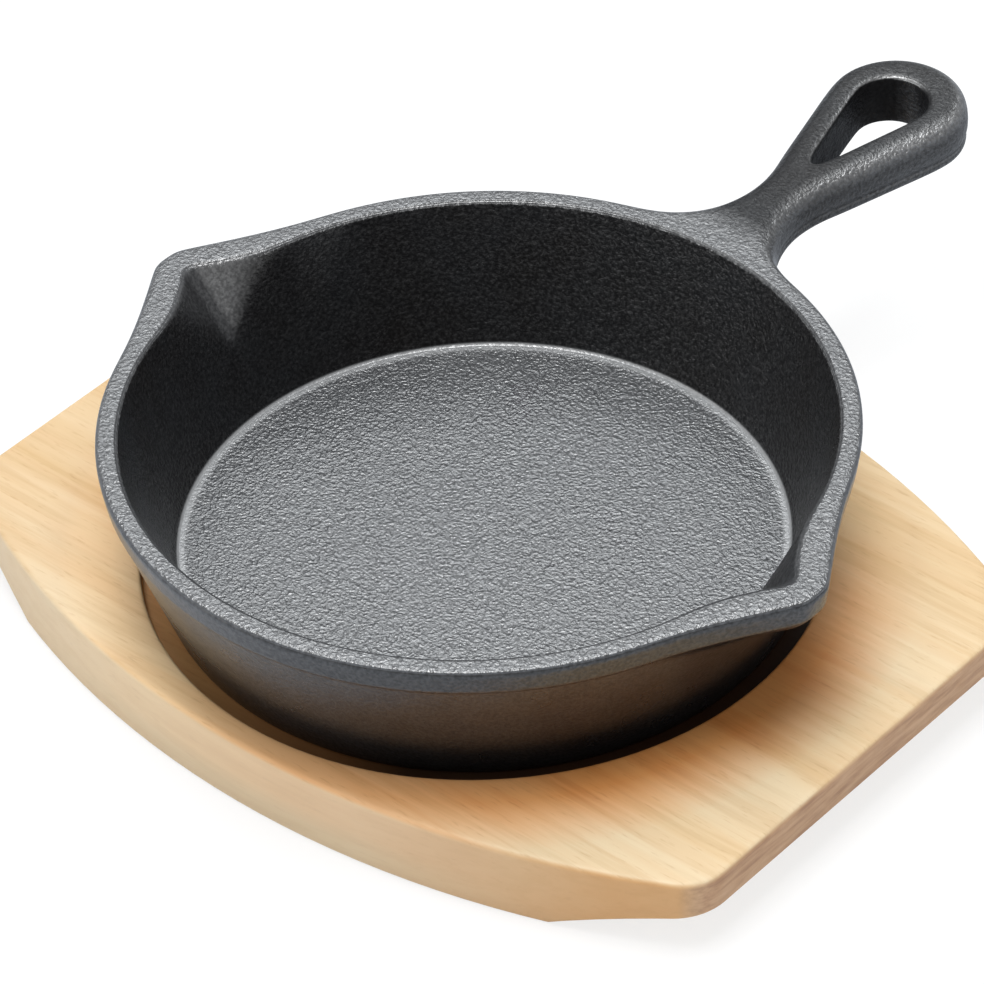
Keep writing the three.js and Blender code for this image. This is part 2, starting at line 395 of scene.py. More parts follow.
# %% Split the handle at the point of the eye
flank_angle = math.radians(-15.2)
flank_normal = Vector((math.cos(flank_angle), math.sin(flank_angle)))
outer_flank = (Vector((8.41, 104)), Vector((14.96, 128.26)))
eye_flank = (Vector((1.54, 106.08)), Vector((7.72, 128.6)))
eye_point, point_lean = 104.4, 3
eye_insets = [1.8, 0, 0, 0, -0.15, -0.35, -0.5, -0.5, 0.9]
eye_drops = [0, 0.2, 2, 4.6]
eye_rises = [4, 2.8, 1.4, 0, 0]


def eye_levels(length):
    return section_levels(length, eye_drops, eye_rises)


def place_arm(block, mirror, outer, inner, normal):
    """Moves the vertices of one arm: its outside, the wall of the eye, and the line between them."""
    for index in range(len(block_rows)):
        outside = outer - normal * crown_insets[index]
        inside = inner + normal * eye_insets[index]
        plan_points = {1: inside, 2: (outside + inside) / 2, 3: outside}
        for side, point in plan_points.items():
            levels = eye_levels if side == 1 else crown_levels
            block[side * mirror, index].co = (point.x * mirror, point.y, levels(point.y)[index])


handle_block = extruded(handle_block)
for mirror in (1, -1):
    place_arm(handle_block, mirror, outer_flank[0], eye_flank[0], flank_normal)
for index, inset in enumerate(eye_insets):
    length = eye_point - (inset if inset > 0 else inset * point_lean)
    handle_block[0, index].co = (0, length, eye_levels(length)[index])
print("eye begins at", eye_point, "mm")

# %% [markdown]
# Each arm first runs straight along the flank of the teardrop and then turns round its wide end.
# The two arms meet in the middle plane. Their end faces are deleted there, and merging doubles
# joins one arm to the other. Counting the open edges shows whether the skin is closed.

# %% Grow the two arms until they meet
flank_sections, end_sections = 4, 5
end_centre, end_radius = Vector((0, 132.3)), 15.5
eye_centre, eye_radius = Vector((0, 130.7)), 8
end_step = (math.pi / 2 - flank_angle) / end_sections
meeting_distance = 0.01


def arm_section(number):
    """The outside, the wall of the eye and the normal of both, for one section along an arm."""
    if number <= flank_sections:
        done = number / flank_sections
        outer = outer_flank[0].lerp(outer_flank[1], done)
        inner = eye_flank[0].lerp(eye_flank[1], done)
        return outer, inner, flank_normal
    angle = flank_angle + end_step * (number - flank_sections)
    normal = Vector((math.cos(angle), math.sin(angle)))
    outer = end_centre + normal * round_control(end_radius, end_step)
    inner = eye_centre + normal * round_control(eye_radius, end_step)
    return outer, inner, normal


def open_edges(shell):
    return [edge for edge in shell.edges if not edge.is_manifold]


for mirror in (1, -1):
    arm = {key: vert for key, vert in handle_block.items() if key[0] * mirror > 0}
    for number in range(1, flank_sections + end_sections + 1):
        arm = extruded(arm)
        place_arm(arm, mirror, *arm_section(number))
    bmesh.ops.delete(skillet, geom=faces_of(arm), context="FACES")
bmesh.ops.remove_doubles(skillet, verts=skillet.verts, dist=meeting_distance)
bmesh.ops.recalc_face_normals(skillet, faces=skillet.faces)
print("skillet of", len(skillet.faces), "faces with", len(open_edges(skillet)), "open edges")

# %% [markdown]
# ## From mesh to piece
# Each finished mesh becomes an object at the origin, with its place in its vertices. It rides on a
# body of the frame, so that it moves with the joint, and it hides the plain solid it stands for.
# The skillet is scaled from millimetres and lifted on to the floor of the board's recess, and a
# subdivision surface rounds it.

# %% Make the skillet an object
recess_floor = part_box("skillet")[0].z


def make_piece(name, shell, node, body):
    """Turns a bmesh into a smooth object that takes over from a solid of the frame."""
    for face in shell.faces:
        face.smooth = True
    mesh = bpy.data.meshes.new(name)
    shell.to_mesh(mesh)
    shell.free()
    piece = bpy.data.objects.new(name, mesh)
    bpy.context.scene.collection.objects.link(piece)
    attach(piece, body)
    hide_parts(node)
    return piece


bmesh.ops.scale(skillet, vec=(mm, mm, mm), verts=skillet.verts)
bmesh.ops.translate(skillet, vec=(0, 0, recess_floor), verts=skillet.verts)
skillet_piece = make_piece("cast_skillet", skillet, "skillet", "pan")
rounding = skillet_piece.modifiers.new("rounding", "SUBSURF")
rounding.levels = rounding.render_levels = 2
print("skillet stands on", round(recess_floor / mm, 2), "mm")

# %% [markdown]
# ## The serving board
# The board is sawn from one plank. Its ends are straight, its long sides swell out to carry the
# round recess, and its corners are rounded. One quarter of the outline is drawn with two spins of
# a single point, the first along the swelling side and the second round the corner. Two mirrors
# make it whole.

# %% Outline of the board
half_length = 96.2
half_width = 74
side_bulge = 24.8
corner_radius = 10
bow_steps, corner_steps = 16, 9
board_thickness = board_top / mm

bow_radius = (half_length ** 2 + side_bulge ** 2) / (2 * side_bulge)
bow_centre = Vector((0, half_width - bow_radius, 0))
corner_x = half_length - corner_radius
corner_y = bow_centre.y + math.sqrt((bow_radius - corner_radius) ** 2 - corner_x ** 2)
corner_centre = Vector((corner_x, corner_y, 0))
bow_angle = math.atan2(corner_x, corner_y - bow_centre.y)

board = bmesh.new()
start = board.verts.new((0, half_width, 0))
bow = bmesh.ops.spin(board, geom=[start], cent=bow_centre, axis=(0, 0, 1), angle=-bow_angle,
                     steps=bow_steps)
bend = bmesh.ops.spin(board, geom=only_verts(bow["geom_last"]), cent=corner_centre, axis=(0, 0, 1),
                      angle=bow_angle - math.pi / 2, steps=corner_steps)
end_middle = bmesh.ops.extrude_vert_indiv(board, verts=only_verts(bend["geom_last"]))["verts"]
bmesh.ops.translate(board, vec=(0, -corner_y, 0), verts=end_middle)
for axis in ("X", "Y"):
    bmesh.ops.mirror(board, geom=board.verts[:] + board.edges[:], axis=axis, merge_dist=meeting_distance)
bmesh.ops.remove_doubles(board, verts=board.verts, dist=meeting_distance)
loose_ends = [vert for vert in board.verts if len(vert.link_edges) == 1]
print("outline of", len(board.verts), "points with", len(loose_ends), "loose ends")

# %% [markdown]
# The outline becomes a plank: it is filled, and the filled face is raised by the board's thickness.
# A board for the table has no sharp edges, so the bevel operator rounds the upper one. Real edges
# are told from the others by the angle between their two faces. The narrow inset inside the
# rounding will keep the top's shading flat right up to it.

# %% Raise the plank and round its upper edge
top_rounding, top_segments = 1.2, 4
shading_inset = 0.6
real_corner = math.radians(50)
level_slack = 0.01

underside = bmesh.ops.contextual_create(board, geom=board.edges[:])["faces"]
raised = bmesh.ops.extrude_face_region(board, geom=underside)["geom"]
bmesh.ops.translate(board, vec=(0, 0, board_thickness), verts=only_verts(raised))
bmesh.ops.recalc_face_normals(board, faces=board.faces)


def round_edges(lowest, highest, radius, segments):
    """Rounds the board's real corners between two levels and says how many edges they have."""
    levels = (lowest - level_slack, highest + level_slack)
    edges = [
        edge for edge in board.edges
        if edge.calc_face_angle() > real_corner
        and all(levels[0] <= vert.co.z <= levels[1] for vert in edge.verts)
    ]
    bmesh.ops.bevel(board, geom=edges, offset=radius, affect="EDGES", segments=segments, profile=0.5,
                    material=-1)
    return len(edges)


top_edges = round_edges(board_thickness, board_thickness, top_rounding, top_segments)
top_face = max(board.faces, key=lambda face: face.calc_center_median().z)
bmesh.ops.inset_region(board, faces=[top_face], thickness=shading_inset, use_even_offset=True,
                       use_boundary=True)
print("plank of", len(board.faces), "faces, upper edge of", top_edges, "pieces rounded")

# %% [markdown]
# Under each straight end the carpenter has scooped the wood away in a shallow arc, so that fingers
# can get below the board. A boolean with a cylinder would cut the same arc. Here the underside is
# sliced across with a few planes and the slices are lifted on to the arc, which leaves tidy strips
# of faces. Then the lower edge is rounded all the way round.

# %% Scoop the ends and round the lower edge
recess_radius = 68.4
scoop_height = 8
scoop_radius = 110
slice_places = [67.4, 68.4, 70.3, 72.2, 77.3, 82.7, 88]
under_rounding, under_segments = 0.9, 3
looking_down = -0.9

for distance in slice_places:
    for side in (-1, 1):
        lower = [face for face in board.faces if face.normal.z < looking_down]
        lower_edges = {edge for face in lower for edge in face.edges}
        lower_verts = {vert for face in lower for vert in face.verts}
        bmesh.ops.bisect_plane(board, geom=[*lower, *lower_edges, *lower_verts],
                               plane_co=(side * distance, 0, 0), plane_no=(1, 0, 0))

scoop_start = Vector((recess_radius, 0))
scoop_end = Vector((half_length, scoop_height))
chord = scoop_end - scoop_start
scoop_sink = math.sqrt(scoop_radius ** 2 - (chord.length / 2) ** 2)
scoop_centre = (scoop_start + scoop_end) / 2 + Vector((chord.y, -chord.x)).normalized() * scoop_sink
for vert in board.verts:
    distance = abs(vert.co.x)
    if vert.co.z < level_slack and distance > recess_radius:
        vert.co.z = scoop_centre.y + math.sqrt(scoop_radius ** 2 - (distance - scoop_centre.x) ** 2)

board.normal_update()
under_edges = round_edges(0, scoop_height, under_rounding, under_segments)
print("scooped ends stand", scoop_height, "mm clear, lower edge of", under_edges, "pieces rounded")

# %% [markdown]
# The recess is routed out in a circle, so its section is spun like the bowl's. A router leaves a
# small rounding at the foot of the recess's wall, and sandpaper rounds its upper edge. The plank's
# flat top is taken away inside the narrow inset, and the bridge operator spans from there to the
# edge of the spun recess.

# %% Rout the recess
recess_steps = 120
recess_level = recess_floor / mm
floor_rings = (0, 30, 58)
foot_bend = [(-1, 0), (-0.35, 0.08), (-0.08, 0.35), (0, 0.9)]
edge_bend = [(0, -0.7), (0.06, -0.35), (0.25, -0.12), (0.55, -0.02), (0.9, 0), (1.5, 0)]

recess_section = [(radius, 0, recess_level) for radius in floor_rings]
recess_section += [(recess_radius + out, 0, recess_level + rise) for out, rise in foot_bend]
recess_section += [(recess_radius + out, 0, board_thickness + rise) for out, rise in edge_bend]
bmesh.ops.delete(board, geom=[top_face], context="FACES")
spin_section(board, recess_section, recess_steps)
bmesh.ops.bridge_loops(board, edges=[edge for edge in board.edges if edge.is_boundary])
bmesh.ops.recalc_face_normals(board, faces=board.faces)
print("board of", len(board.faces), "faces with", len(open_edges(board)), "open edges")

# %% [markdown]
# The board becomes an object in the same way as the skillet. It needs no subdivision surface,
# because its curves have faces enough. Smooth shading alone would smear the light over the real
# corners, so edges that turn by more than a set angle are marked as sharp.

# %% Make the board an object
sharp_angle = math.radians(35)

bmesh.ops.scale(board, vec=(mm, mm, mm), verts=board.verts)
board_piece = make_piece("plank_board", board, "serving_board", "board")
board_piece.data.set_sharp_from_angle(angle=sharp_angle)
print("board", [round(size / mm, 1) for size in board_piece.dimensions], "mm")

# %% [markdown]
# ## Finishes
# Both finishes are node materials on Object coordinates, so a pattern keeps its real size in metres
# and stays put when the piece moves. Nodes could be placed and wired one by one, but two helpers are
# easier to read: one makes a material with a plain surface, and the other adds a node and fills its
# sockets.

# %% Helpers that add nodes
def new_material(name):
    """A material, its node tree, its surface shader and the object coordinates."""
    material = bpy.data.materials.new(name)
    material.use_nodes = True
    tree = material.node_tree
    tree.nodes.clear()
    output = tree.nodes.new("ShaderNodeOutputMaterial")
    surface = tree.nodes.new("ShaderNodeBsdfPrincipled")
    tree.links.new(surface.outputs["BSDF"], output.inputs["Surface"])
    where = tree.nodes.new("ShaderNodeTexCoord")
    return material, tree, surface, where


def add_node(tree, kind, sockets, **settings):
    """Adds a node; a socket takes a plain value or the output of another node."""
    made = tree.nodes.new("ShaderNode" + kind)
    for name, value in settings.items():
        setattr(made, name, value)
    for name, value in sockets.items():
        if isinstance(value, bpy.types.NodeSocket):
            tree.links.new(value, made.inputs[name])
        else:
            made.inputs[name].default_value = value
    return made


print("helpers for materials and nodes ready")

# %% [markdown]
# A mask is a grey value from 0 to 1 that says where a finish lies. Painting masks by hand would
# need an image. Here they are worked out from a point's place and from the way its face looks, and
# these helpers do the sums. A face that looks straight up has a direction with a Z of 1, and on a
# wall it is near 0.

# %% Helpers for masks
def maths(tree, operation, first, second=0.0):
    return add_node(tree, "Math", {0: first, 1: second}, operation=operation).outputs[0]


def times(tree, first, *others):
    for other in others:
        first = maths(tree, "MULTIPLY", first, other)
    return first


def plus(tree, first, *others):
    for other in others:
        first = maths(tree, "ADD", first, other)
    return first


def spread(tree, value, start, end, start_to=0.0, end_to=1.0):
    """Stretches a value from one range to another and cuts it off at both ends."""
    sockets = {"Value": value, "From Min": start, "From Max": end, "To Min": start_to, "To Max": end_to}
    return add_node(tree, "MapRange", sockets).outputs["Result"]


def between(tree, mask, none, full):
    """A value that goes from one number to another as a mask goes from 0 to 1."""
    return spread(tree, mask, 0.0, 1.0, none, full)


def place_and_facing(tree, where):
    """A point's X, Y and Z, its place on the plan, its distance from the middle, and its direction."""
    apart = add_node(tree, "SeparateXYZ", {0: where.outputs["Object"]}).outputs
    on_plan = add_node(tree, "CombineXYZ", {0: apart["X"], 1: apart["Y"]}).outputs[0]
    from_middle = add_node(tree, "VectorMath", {0: on_plan}, operation="LENGTH").outputs["Value"]
    facing = add_node(tree, "SeparateXYZ", {0: where.outputs["Normal"]}).outputs
    return apart, on_plan, from_middle, facing


print("helpers for masks ready")

# %% [markdown]
# Colour needs its own helpers. A ramp turns a grey value into a range of colours. A mix puts one
# colour over another, or multiplies them, which tints the first by the second. Noise is the pattern
# behind nearly everything natural here, and its scale counts its lumps in a metre.

# %% Helpers for colour
def colours(tree, value, stops):
    """A colour ramp with these (place, colour) stops."""
    made = add_node(tree, "ValToRGB", {"Fac": value})
    elements = made.color_ramp.elements
    while len(elements) < len(stops):
        elements.new(0.5)
    for element, (position, colour) in zip(elements, stops):
        element.position = position
        element.color = (*colour, 1)
    return made.outputs["Color"]


def mixed(tree, share, first, second, blend="MIX"):
    """Mixes two colours, or tints the first by the second."""
    sockets = {"Factor": share, 6: first, 7: second}
    return add_node(tree, "Mix", sockets, data_type="RGBA", blend_type=blend).outputs[2]


def tinted(tree, share, colour, tint):
    return mixed(tree, share, colour, tint, "MULTIPLY")


def noise(tree, vector, scale, detail=2.0, roughness=0.5, distortion=0.0):
    sockets = {"Vector": vector, "Scale": scale, "Detail": detail, "Roughness": roughness,
               "Distortion": distortion}
    return add_node(tree, "TexNoise", sockets).outputs["Fac"]


print("helpers for colour ready")

# %% [markdown]
# ## Seasoned cast iron
# Iron poured into sand keeps the sand's pebbled skin, and oil baked on to it turns it near black.
# The skin isn't the same all over. The bowl's floor, the rim and the handle show it most. The outer
# wall slid out of the sand and is smoother, and so is the fillet between wall and floor, which a
# spatula scrapes. The first masks tell these places apart: by the Y of a point, bowl from handle,
# and by how far a face looks away from the middle, outside from inside.

# %% Where the skin is rough
handle_from, bowl_to = 83 * mm, 75 * mm
smooth_wall, smooth_fillet = 0.22, 0.35

iron, tree, surface, where = new_material("seasoned_cast_iron")
on_piece = where.outputs["Object"]
apart, on_plan, from_middle, facing = place_and_facing(tree, where)
facing_up = facing["Z"]
away = add_node(tree, "VectorMath", {0: on_plan}, operation="NORMALIZE").outputs["Vector"]
facing_out = add_node(tree, "VectorMath", {0: away, 1: where.outputs["Normal"]},
                      operation="DOT_PRODUCT").outputs["Value"]

on_bowl = spread(tree, apart["Y"], handle_from, bowl_to)
outer_side = spread(tree, facing_out, 0.45, 0.8)
inner_side = spread(tree, facing_out, -0.3, -0.7)
on_fillet = times(tree, spread(tree, facing_out, -0.15, -0.45), spread(tree, facing_out, -0.92, -0.8))
rough_share = times(tree, between(tree, times(tree, outer_side, on_bowl), 1.0, smooth_wall),
                    between(tree, on_fillet, 1.0, smooth_fillet))
print("outer wall", smooth_wall, "and fillet", smooth_fillet, "as rough as the rest")

# %% [markdown]
# The skin's grains are under a millimetre wide. They could be modelled, but no mesh of a sensible
# size is fine enough, so bump mapping bends the light instead. Three noises make the height: one
# for the pebbles, a broader one for shallow hollows between them, and a very fine one for the
# sparkle of single grains.

# %% Pebbled skin
pebble_scale, hollow_scale, grain_scale = 1380, 560, 4200
hollow_share, grain_share = 0.6, 0.2
skin_depth = 0.36 * mm

pebbles = noise(tree, on_piece, pebble_scale, 1.5, 0.55)
hollows = noise(tree, on_piece, hollow_scale, 1.0)
grains = noise(tree, on_piece, grain_scale, 0.0)
skin = plus(tree, pebbles, times(tree, hollows, hollow_share), times(tree, grains, grain_share))
bump = add_node(tree, "Bump", {"Height": times(tree, skin, rough_share), "Strength": 1.0,
                               "Distance": skin_depth})
tree.links.new(bump.outputs["Normal"], surface.inputs["Normal"])
print("pebbles about", round(1 / pebble_scale / mm, 2), "mm wide")

# %% [markdown]
# The oil's black varies a little from patch to patch and is darker between the pebbles. Where the
# iron lies level it is worn to a dark grey, which is partly wear and partly painted sheen. Round the
# bowl's floor runs a ring of painted highlight. The foot of the outer wall, down in the recess, is
# darkened with painted shade. Each of these is a colour laid over the last one through its own mask.

# %% Colour of the iron
untinted = (1.0, 1.0, 1.0)
black_oil = [(0.3, (0.013, 0.012, 0.012)), (0.7, (0.019, 0.020, 0.022))]
between_pebbles = [(0.3, (0.55, 0.55, 0.56)), (0.65, untinted)]
wear_and_sheen_grey = (0.050, 0.052, 0.056, 1)
highlight_ring_grey = (0.31, 0.315, 0.32, 1)
wear_and_sheen_on_handle = 0.1
highlight_ring_share = 0.8
foot_shade = 0.45

pebble_tone = colours(tree, pebbles, between_pebbles)
patches = noise(tree, on_piece, 38, 3.0, 0.6)
iron_colour = tinted(tree, 0.8, colours(tree, patches, black_oil), pebble_tone)
# Wear and painted sheen: faces that look up get a lighter grey, on the bowl far more than on the handle.
lying_level = spread(tree, facing_up, 0.5, 0.85)
wear_and_sheen = times(tree, lying_level, between(tree, on_bowl, wear_and_sheen_on_handle, 1.0))
iron_colour = mixed(tree, wear_and_sheen, iron_colour, tinted(tree, 0.6, wear_and_sheen_grey, pebble_tone))
# Painted highlight: a bright grey ring round the fillet of the bowl's floor.
painted_highlight_ring = times(tree, spread(tree, facing_out, -0.06, -0.14), spread(tree, facing_out, -0.85, -0.7),
                    spread(tree, apart["Z"], 20.6 * mm, 20.0 * mm), on_bowl)
iron_colour = mixed(tree, times(tree, painted_highlight_ring, highlight_ring_share), iron_colour, highlight_ring_grey)
# Painted shade: the outer wall darkens towards its foot, in colour here and in shine further down.
near_foot = times(tree, spread(tree, apart["Z"], 27 * mm, 14 * mm), outer_side)
foot_shading = between(tree, near_foot, 1.0, foot_shade)
tree.links.new(tinted(tree, 1.0, iron_colour, foot_shading), surface.inputs["Base Color"])
print("oil, wear, ring and foot in the iron's colour")

# %% [markdown]
# Seasoning has a satin shine, a little patchy, and duller on the handle, where hands take the oil
# off. Roughness spreads a reflection out, and Specular IOR Level says how strong it is. On the bowl
# the level iron gets the most shine, a painted sheen. The walls are duller, and inside, single
# pebbles glint; inner walls that face +X or -X get painted shade. A painted highlight lies on one
# flank of the groove of the -X spout and on the lip, most where it faces -X. Faces that look down
# get painted shade, except by the handle's root.

# %% Shine of the bowl
satin_roughness, dull_handle = (0.26, 0.34), 0.13
inner_shine, outer_shine = 0.12, 0.26
glint = (-0.04, 0.13)
level_shine, groove_highlight_shine, lip_highlight_shine, under_shine = 0.45, 0.85, 0.36, 0.12

sheen_patches = noise(tree, on_piece, 90, 3.0, 0.6)
satin = plus(tree, spread(tree, sheen_patches, 0.3, 0.7, *satin_roughness),
             between(tree, on_bowl, dull_handle, 0.0))
tree.links.new(satin, surface.inputs["Roughness"])

glints = times(tree, spread(tree, pebbles, 0.4, 0.75, *glint), inner_side)
# Painted shade: inner walls that face +X or -X shine less.
side_wall_shade = spread(tree, maths(tree, "ABSOLUTE", facing["X"]), 0.3, 0.95, 1.25, 0.45)
wall_shine = plus(tree, spread(tree, facing_out, -0.6, 0.0, inner_shine, outer_shine), glints)
wall_shine = times(tree, wall_shine, between(tree, inner_side, 1.0, side_wall_shade))
# Painted highlight: one flank of the groove of the -X spout shines more.
groove_highlight = times(tree, spread(tree, facing["Y"], -0.25, -0.5), spread(tree, facing["X"], 0.0, 0.2),
                  spread(tree, apart["X"], -62 * mm, -68 * mm))
# Painted highlight: the lip shines more than the wall below it, most where it faces -X.
lip_highlight = times(tree, spread(tree, apart["Z"], 30 * mm, 47 * mm, 0.0, lip_highlight_shine), outer_side,
               spread(tree, facing["X"], -0.5, 0.4, 1.0, 0.3))
wall_shine = plus(tree, wall_shine, times(tree, groove_highlight, groove_highlight_shine), lip_highlight)
# Painted shade: faces that look down shine less, except by the handle's root.
under_root = spread(tree, apart["Y"], 50 * mm, 62 * mm, under_shine, 1.0)
wall_shine = times(tree, wall_shine, spread(tree, facing_up, -0.62, -0.45, under_root, 1.0))
# Painted sheen: level faces shine more, and the painted shade at the foot dims the shine.
bowl_shine = times(tree, plus(tree, wall_shine, times(tree, lying_level, level_shine)), foot_shading)
print("walls shine", inner_shine, "inside and", outer_shine, "outside")

# %% [markdown]
# The handle gets a painted highlight on its round shoulders and painted shade on the flat of its
# crown and on its flanks. The side that looks to -X gets painted shade, and the shine grows towards
# the end. The wall of the eye is dulled with painted shade. A point belongs to it when it lies near
# the middle plane and doesn't look away.

# %% Shine of the handle
shoulder_shine, flank_shine, crown_share = 0.94, 0.22, 0.145
left_shade_share, end_share = 0.1, 1.5

turned_out = times(tree, apart["X"], facing["X"])
# Painted shade: the wall of the eye is kept dull.
eye_wall_shade = times(
    tree,
    spread(tree, maths(tree, "ABSOLUTE", apart["X"]), 9.4 * mm, 8.6 * mm),
    spread(tree, apart["Y"], 98 * mm, 101 * mm),
    spread(tree, facing_up, 0.7, 0.4),
    spread(tree, turned_out, 3 * mm, 1 * mm),
    spread(tree, facing["X"], 0.0, 0.5, 0.3, 0.95),
)
# Painted highlight on the shoulders; painted shade on the crown's flat, the flanks and the -X side.
handle_shine = times(
    tree,
    spread(tree, facing_up, 0.2, 0.65, flank_shine, shoulder_shine),
    spread(tree, facing_up, 0.82, 0.99, 1.0, crown_share),
    spread(tree, facing["X"], -0.35, 0.02, left_shade_share, 1.0),
    spread(tree, from_middle, 100 * mm, 125 * mm, 1.0, end_share),
    between(tree, eye_wall_shade, 1.0, 0.0),
)
print("handle shines", shoulder_shine, "on its shoulders and", flank_shine, "on its flanks")

# %% [markdown]
# Bowl and handle are joined by the mask that told them apart, so the shine changes over softly at
# the root. The tops of the pebbles shine more than the hollows. Iron under a thin skin of oil
# mirrors more than varnish does, so the index of refraction is 2 instead of the usual 1.5.

# %% Finish the iron
pebble_shine = (0.75, 1.25)
iron_index = 2.0

off_bowl = maths(tree, "SUBTRACT", 1.0, on_bowl)
shine = plus(tree, times(tree, bowl_shine, on_bowl), times(tree, handle_shine, off_bowl))
shine = times(tree, shine, spread(tree, pebbles, 0.35, 0.65, *pebble_shine))
tree.links.new(shine, surface.inputs["Specular IOR Level"])
surface.inputs["IOR"].default_value = iron_index
skillet_piece.data.materials.append(iron)
print("iron of", len(tree.nodes), "nodes")

# %% [markdown]
# ## Pale hardwood
# The plank is a pale, close-grained wood, sanded and lightly oiled. Its fibres run along the board.
# A photo of wood could be wrapped round it, but a pattern of nodes runs through the whole block and
# fits every side. The same noise, stretched along the fibres, gives slow bands of colour, thin
# darker growth lines and the short flecks of the pores. The left end of the plank is darkened with
# painted shade.

# %% Grain of the plank
band_scale, line_scale, fleck_scale = 55, 420, 1500
plank_colours = [(0.3, (0.68, 0.465, 0.23)), (0.52, (0.76, 0.57, 0.34)), (0.72, (0.78, 0.63, 0.415))]
line_colours = [(0.36, (0.86, 0.80, 0.72)), (0.52, untinted)]
fleck_colours = [(0.28, (0.72, 0.60, 0.48)), (0.40, untinted)]
left_end_shade_tint = (0.91, 0.89, 0.88, 1)


def stretched(tree, vector, scale):
    """Coordinates on which a pattern runs longer along the axes with a small scale."""
    return add_node(tree, "Mapping", {"Vector": vector, "Scale": scale}).outputs["Vector"]


wood, tree, surface, where = new_material("oiled_pale_hardwood")
on_piece = where.outputs["Object"]
apart, on_plan, from_middle, facing = place_and_facing(tree, where)
along_grain = stretched(tree, on_piece, (0.06, 1.0, 1.0))
bands = noise(tree, along_grain, band_scale, 3.0, 0.6, 0.6)
lines = noise(tree, along_grain, line_scale, 3.0, 0.6)
flecks = noise(tree, stretched(tree, on_piece, (0.14, 1.0, 1.0)), fleck_scale)
plank_tone = tinted(tree, 0.55, colours(tree, bands, plank_colours), colours(tree, lines, line_colours))
plank_tone = tinted(tree, 0.35, plank_tone, colours(tree, flecks, fleck_colours))
# Painted shade: the left end of the plank is darkened.
left_end_shade = spread(tree, apart["X"], -50 * mm, -70 * mm)
plank_tone = tinted(tree, left_end_shade, plank_tone, left_end_shade_tint)
print("grain with", len(plank_colours), "tones of wood")

# %% [markdown]
# Painted shadow tints the wood beside the pan a deep orange, most at the front and on the right. On
# the other side the wood next to the recess is lifted with painted light. Both are rings that fade
# out a little way from the recess. Darker streaks along the grain are strongest where the painted
# shadow lies.

# %% Painted shadow and light round the pan
shadow_orange = (1.0, 0.57, 0.29, 1)
painted_light_tint = (1.22, 1.2, 1.12, 1)
streak_colours = [(0.42, (0.86, 0.68, 0.50)), (0.56, untinted)]
streak_scale = 190

upper = spread(tree, apart["Z"], 4 * mm, 8 * mm)
# Painted shadow: a deep orange ring beside the pan, at the front and on the right.
shadow_side = times(tree, spread(tree, apart["X"], -20 * mm, 60 * mm, 0.2, 1.0),
                  spread(tree, apart["Y"], 50 * mm, 15 * mm, 0.1, 1.0))
shadowed = times(tree, spread(tree, from_middle, 89 * mm, 75 * mm), shadow_side, upper)
plank_tone = tinted(tree, shadowed, plank_tone, shadow_orange)
# Painted light: a paler ring beside the recess on the other side from the painted shadow.
lightened = times(tree, spread(tree, from_middle, 85 * mm, 74 * mm),
              spread(tree, shadow_side, 0.2, 1.0, 1.0, 0.2), upper)
plank_tone = tinted(tree, lightened, plank_tone, painted_light_tint)
streaks = noise(tree, along_grain, streak_scale, 3.0, 0.65, 0.8)
streak_share = between(tree, shadowed, 0.2, 0.4)
plank_tone = tinted(tree, streak_share, plank_tone, colours(tree, streaks, streak_colours))
print("wood tanned on one side of the pan and paler on the other")

# %% [markdown]
# The gap round the pan's foot lies in shade, so the recess is darkened with painted shade, and on
# the right a nearly black painted shadow fills the gap. Under the middle of the skillet the painted
# shade is lighter, so it is strongest in a ring. The mask of the recess is a matter of place alone:
# below the board's top and inside the routed edge.

# %% Painted shade in the recess
recess_shade_tint = (1.0, 0.76, 0.52, 1)
gap_shadow_colour = (0.05, 0.055, 0.07, 1)

in_recess = times(tree, spread(tree, apart["Z"], 15.8 * mm, 15.0 * mm),
                  spread(tree, from_middle, 69.2 * mm, 68.6 * mm), upper)
# Painted shade: the recess darkens towards the pan's foot.
recess_shade = times(tree, in_recess, spread(tree, from_middle, 50 * mm, 60 * mm, 0.35, 1.0))
plank_tone = tinted(tree, recess_shade, plank_tone, recess_shade_tint)
# Painted shadow: a nearly black ring in the gap at the front and on the right.
gap_shadow = times(tree, in_recess, spread(tree, apart["X"], -45 * mm, 30 * mm),
                  spread(tree, from_middle, 57 * mm, 62.5 * mm))
plank_tone = tinted(tree, gap_shadow, plank_tone, gap_shadow_colour)
# The darkening in the gap is painted shade.
print("the gap with the stain is", round(recess_radius - base_radius, 1), "mm wide")

# %% [markdown]
# The upright sides of the plank are paler and quieter than its top. On the front towards the right
# they are darker and warmer with painted shade. The two sawn ends cut across the fibres. End grain
# drinks more oil, so it is darker and browner, and its lines are the growth rings seen edge on.

# %% Sides and sawn ends
side_wood = (0.75, 0.60, 0.41, 1)
corner_shade_tint = (0.90, 0.66, 0.44, 1)
end_colours = [(0.32, (0.42, 0.235, 0.13)), (0.5, (0.54, 0.325, 0.185)), (0.7, (0.62, 0.395, 0.235))]
ring_scale = 700

upright = spread(tree, maths(tree, "ABSOLUTE", facing["Z"]), 0.8, 0.3, 0.0, 0.65)
plank_tone = mixed(tree, times(tree, upright, between(tree, in_recess, 1.0, 0.0)), plank_tone, side_wood)
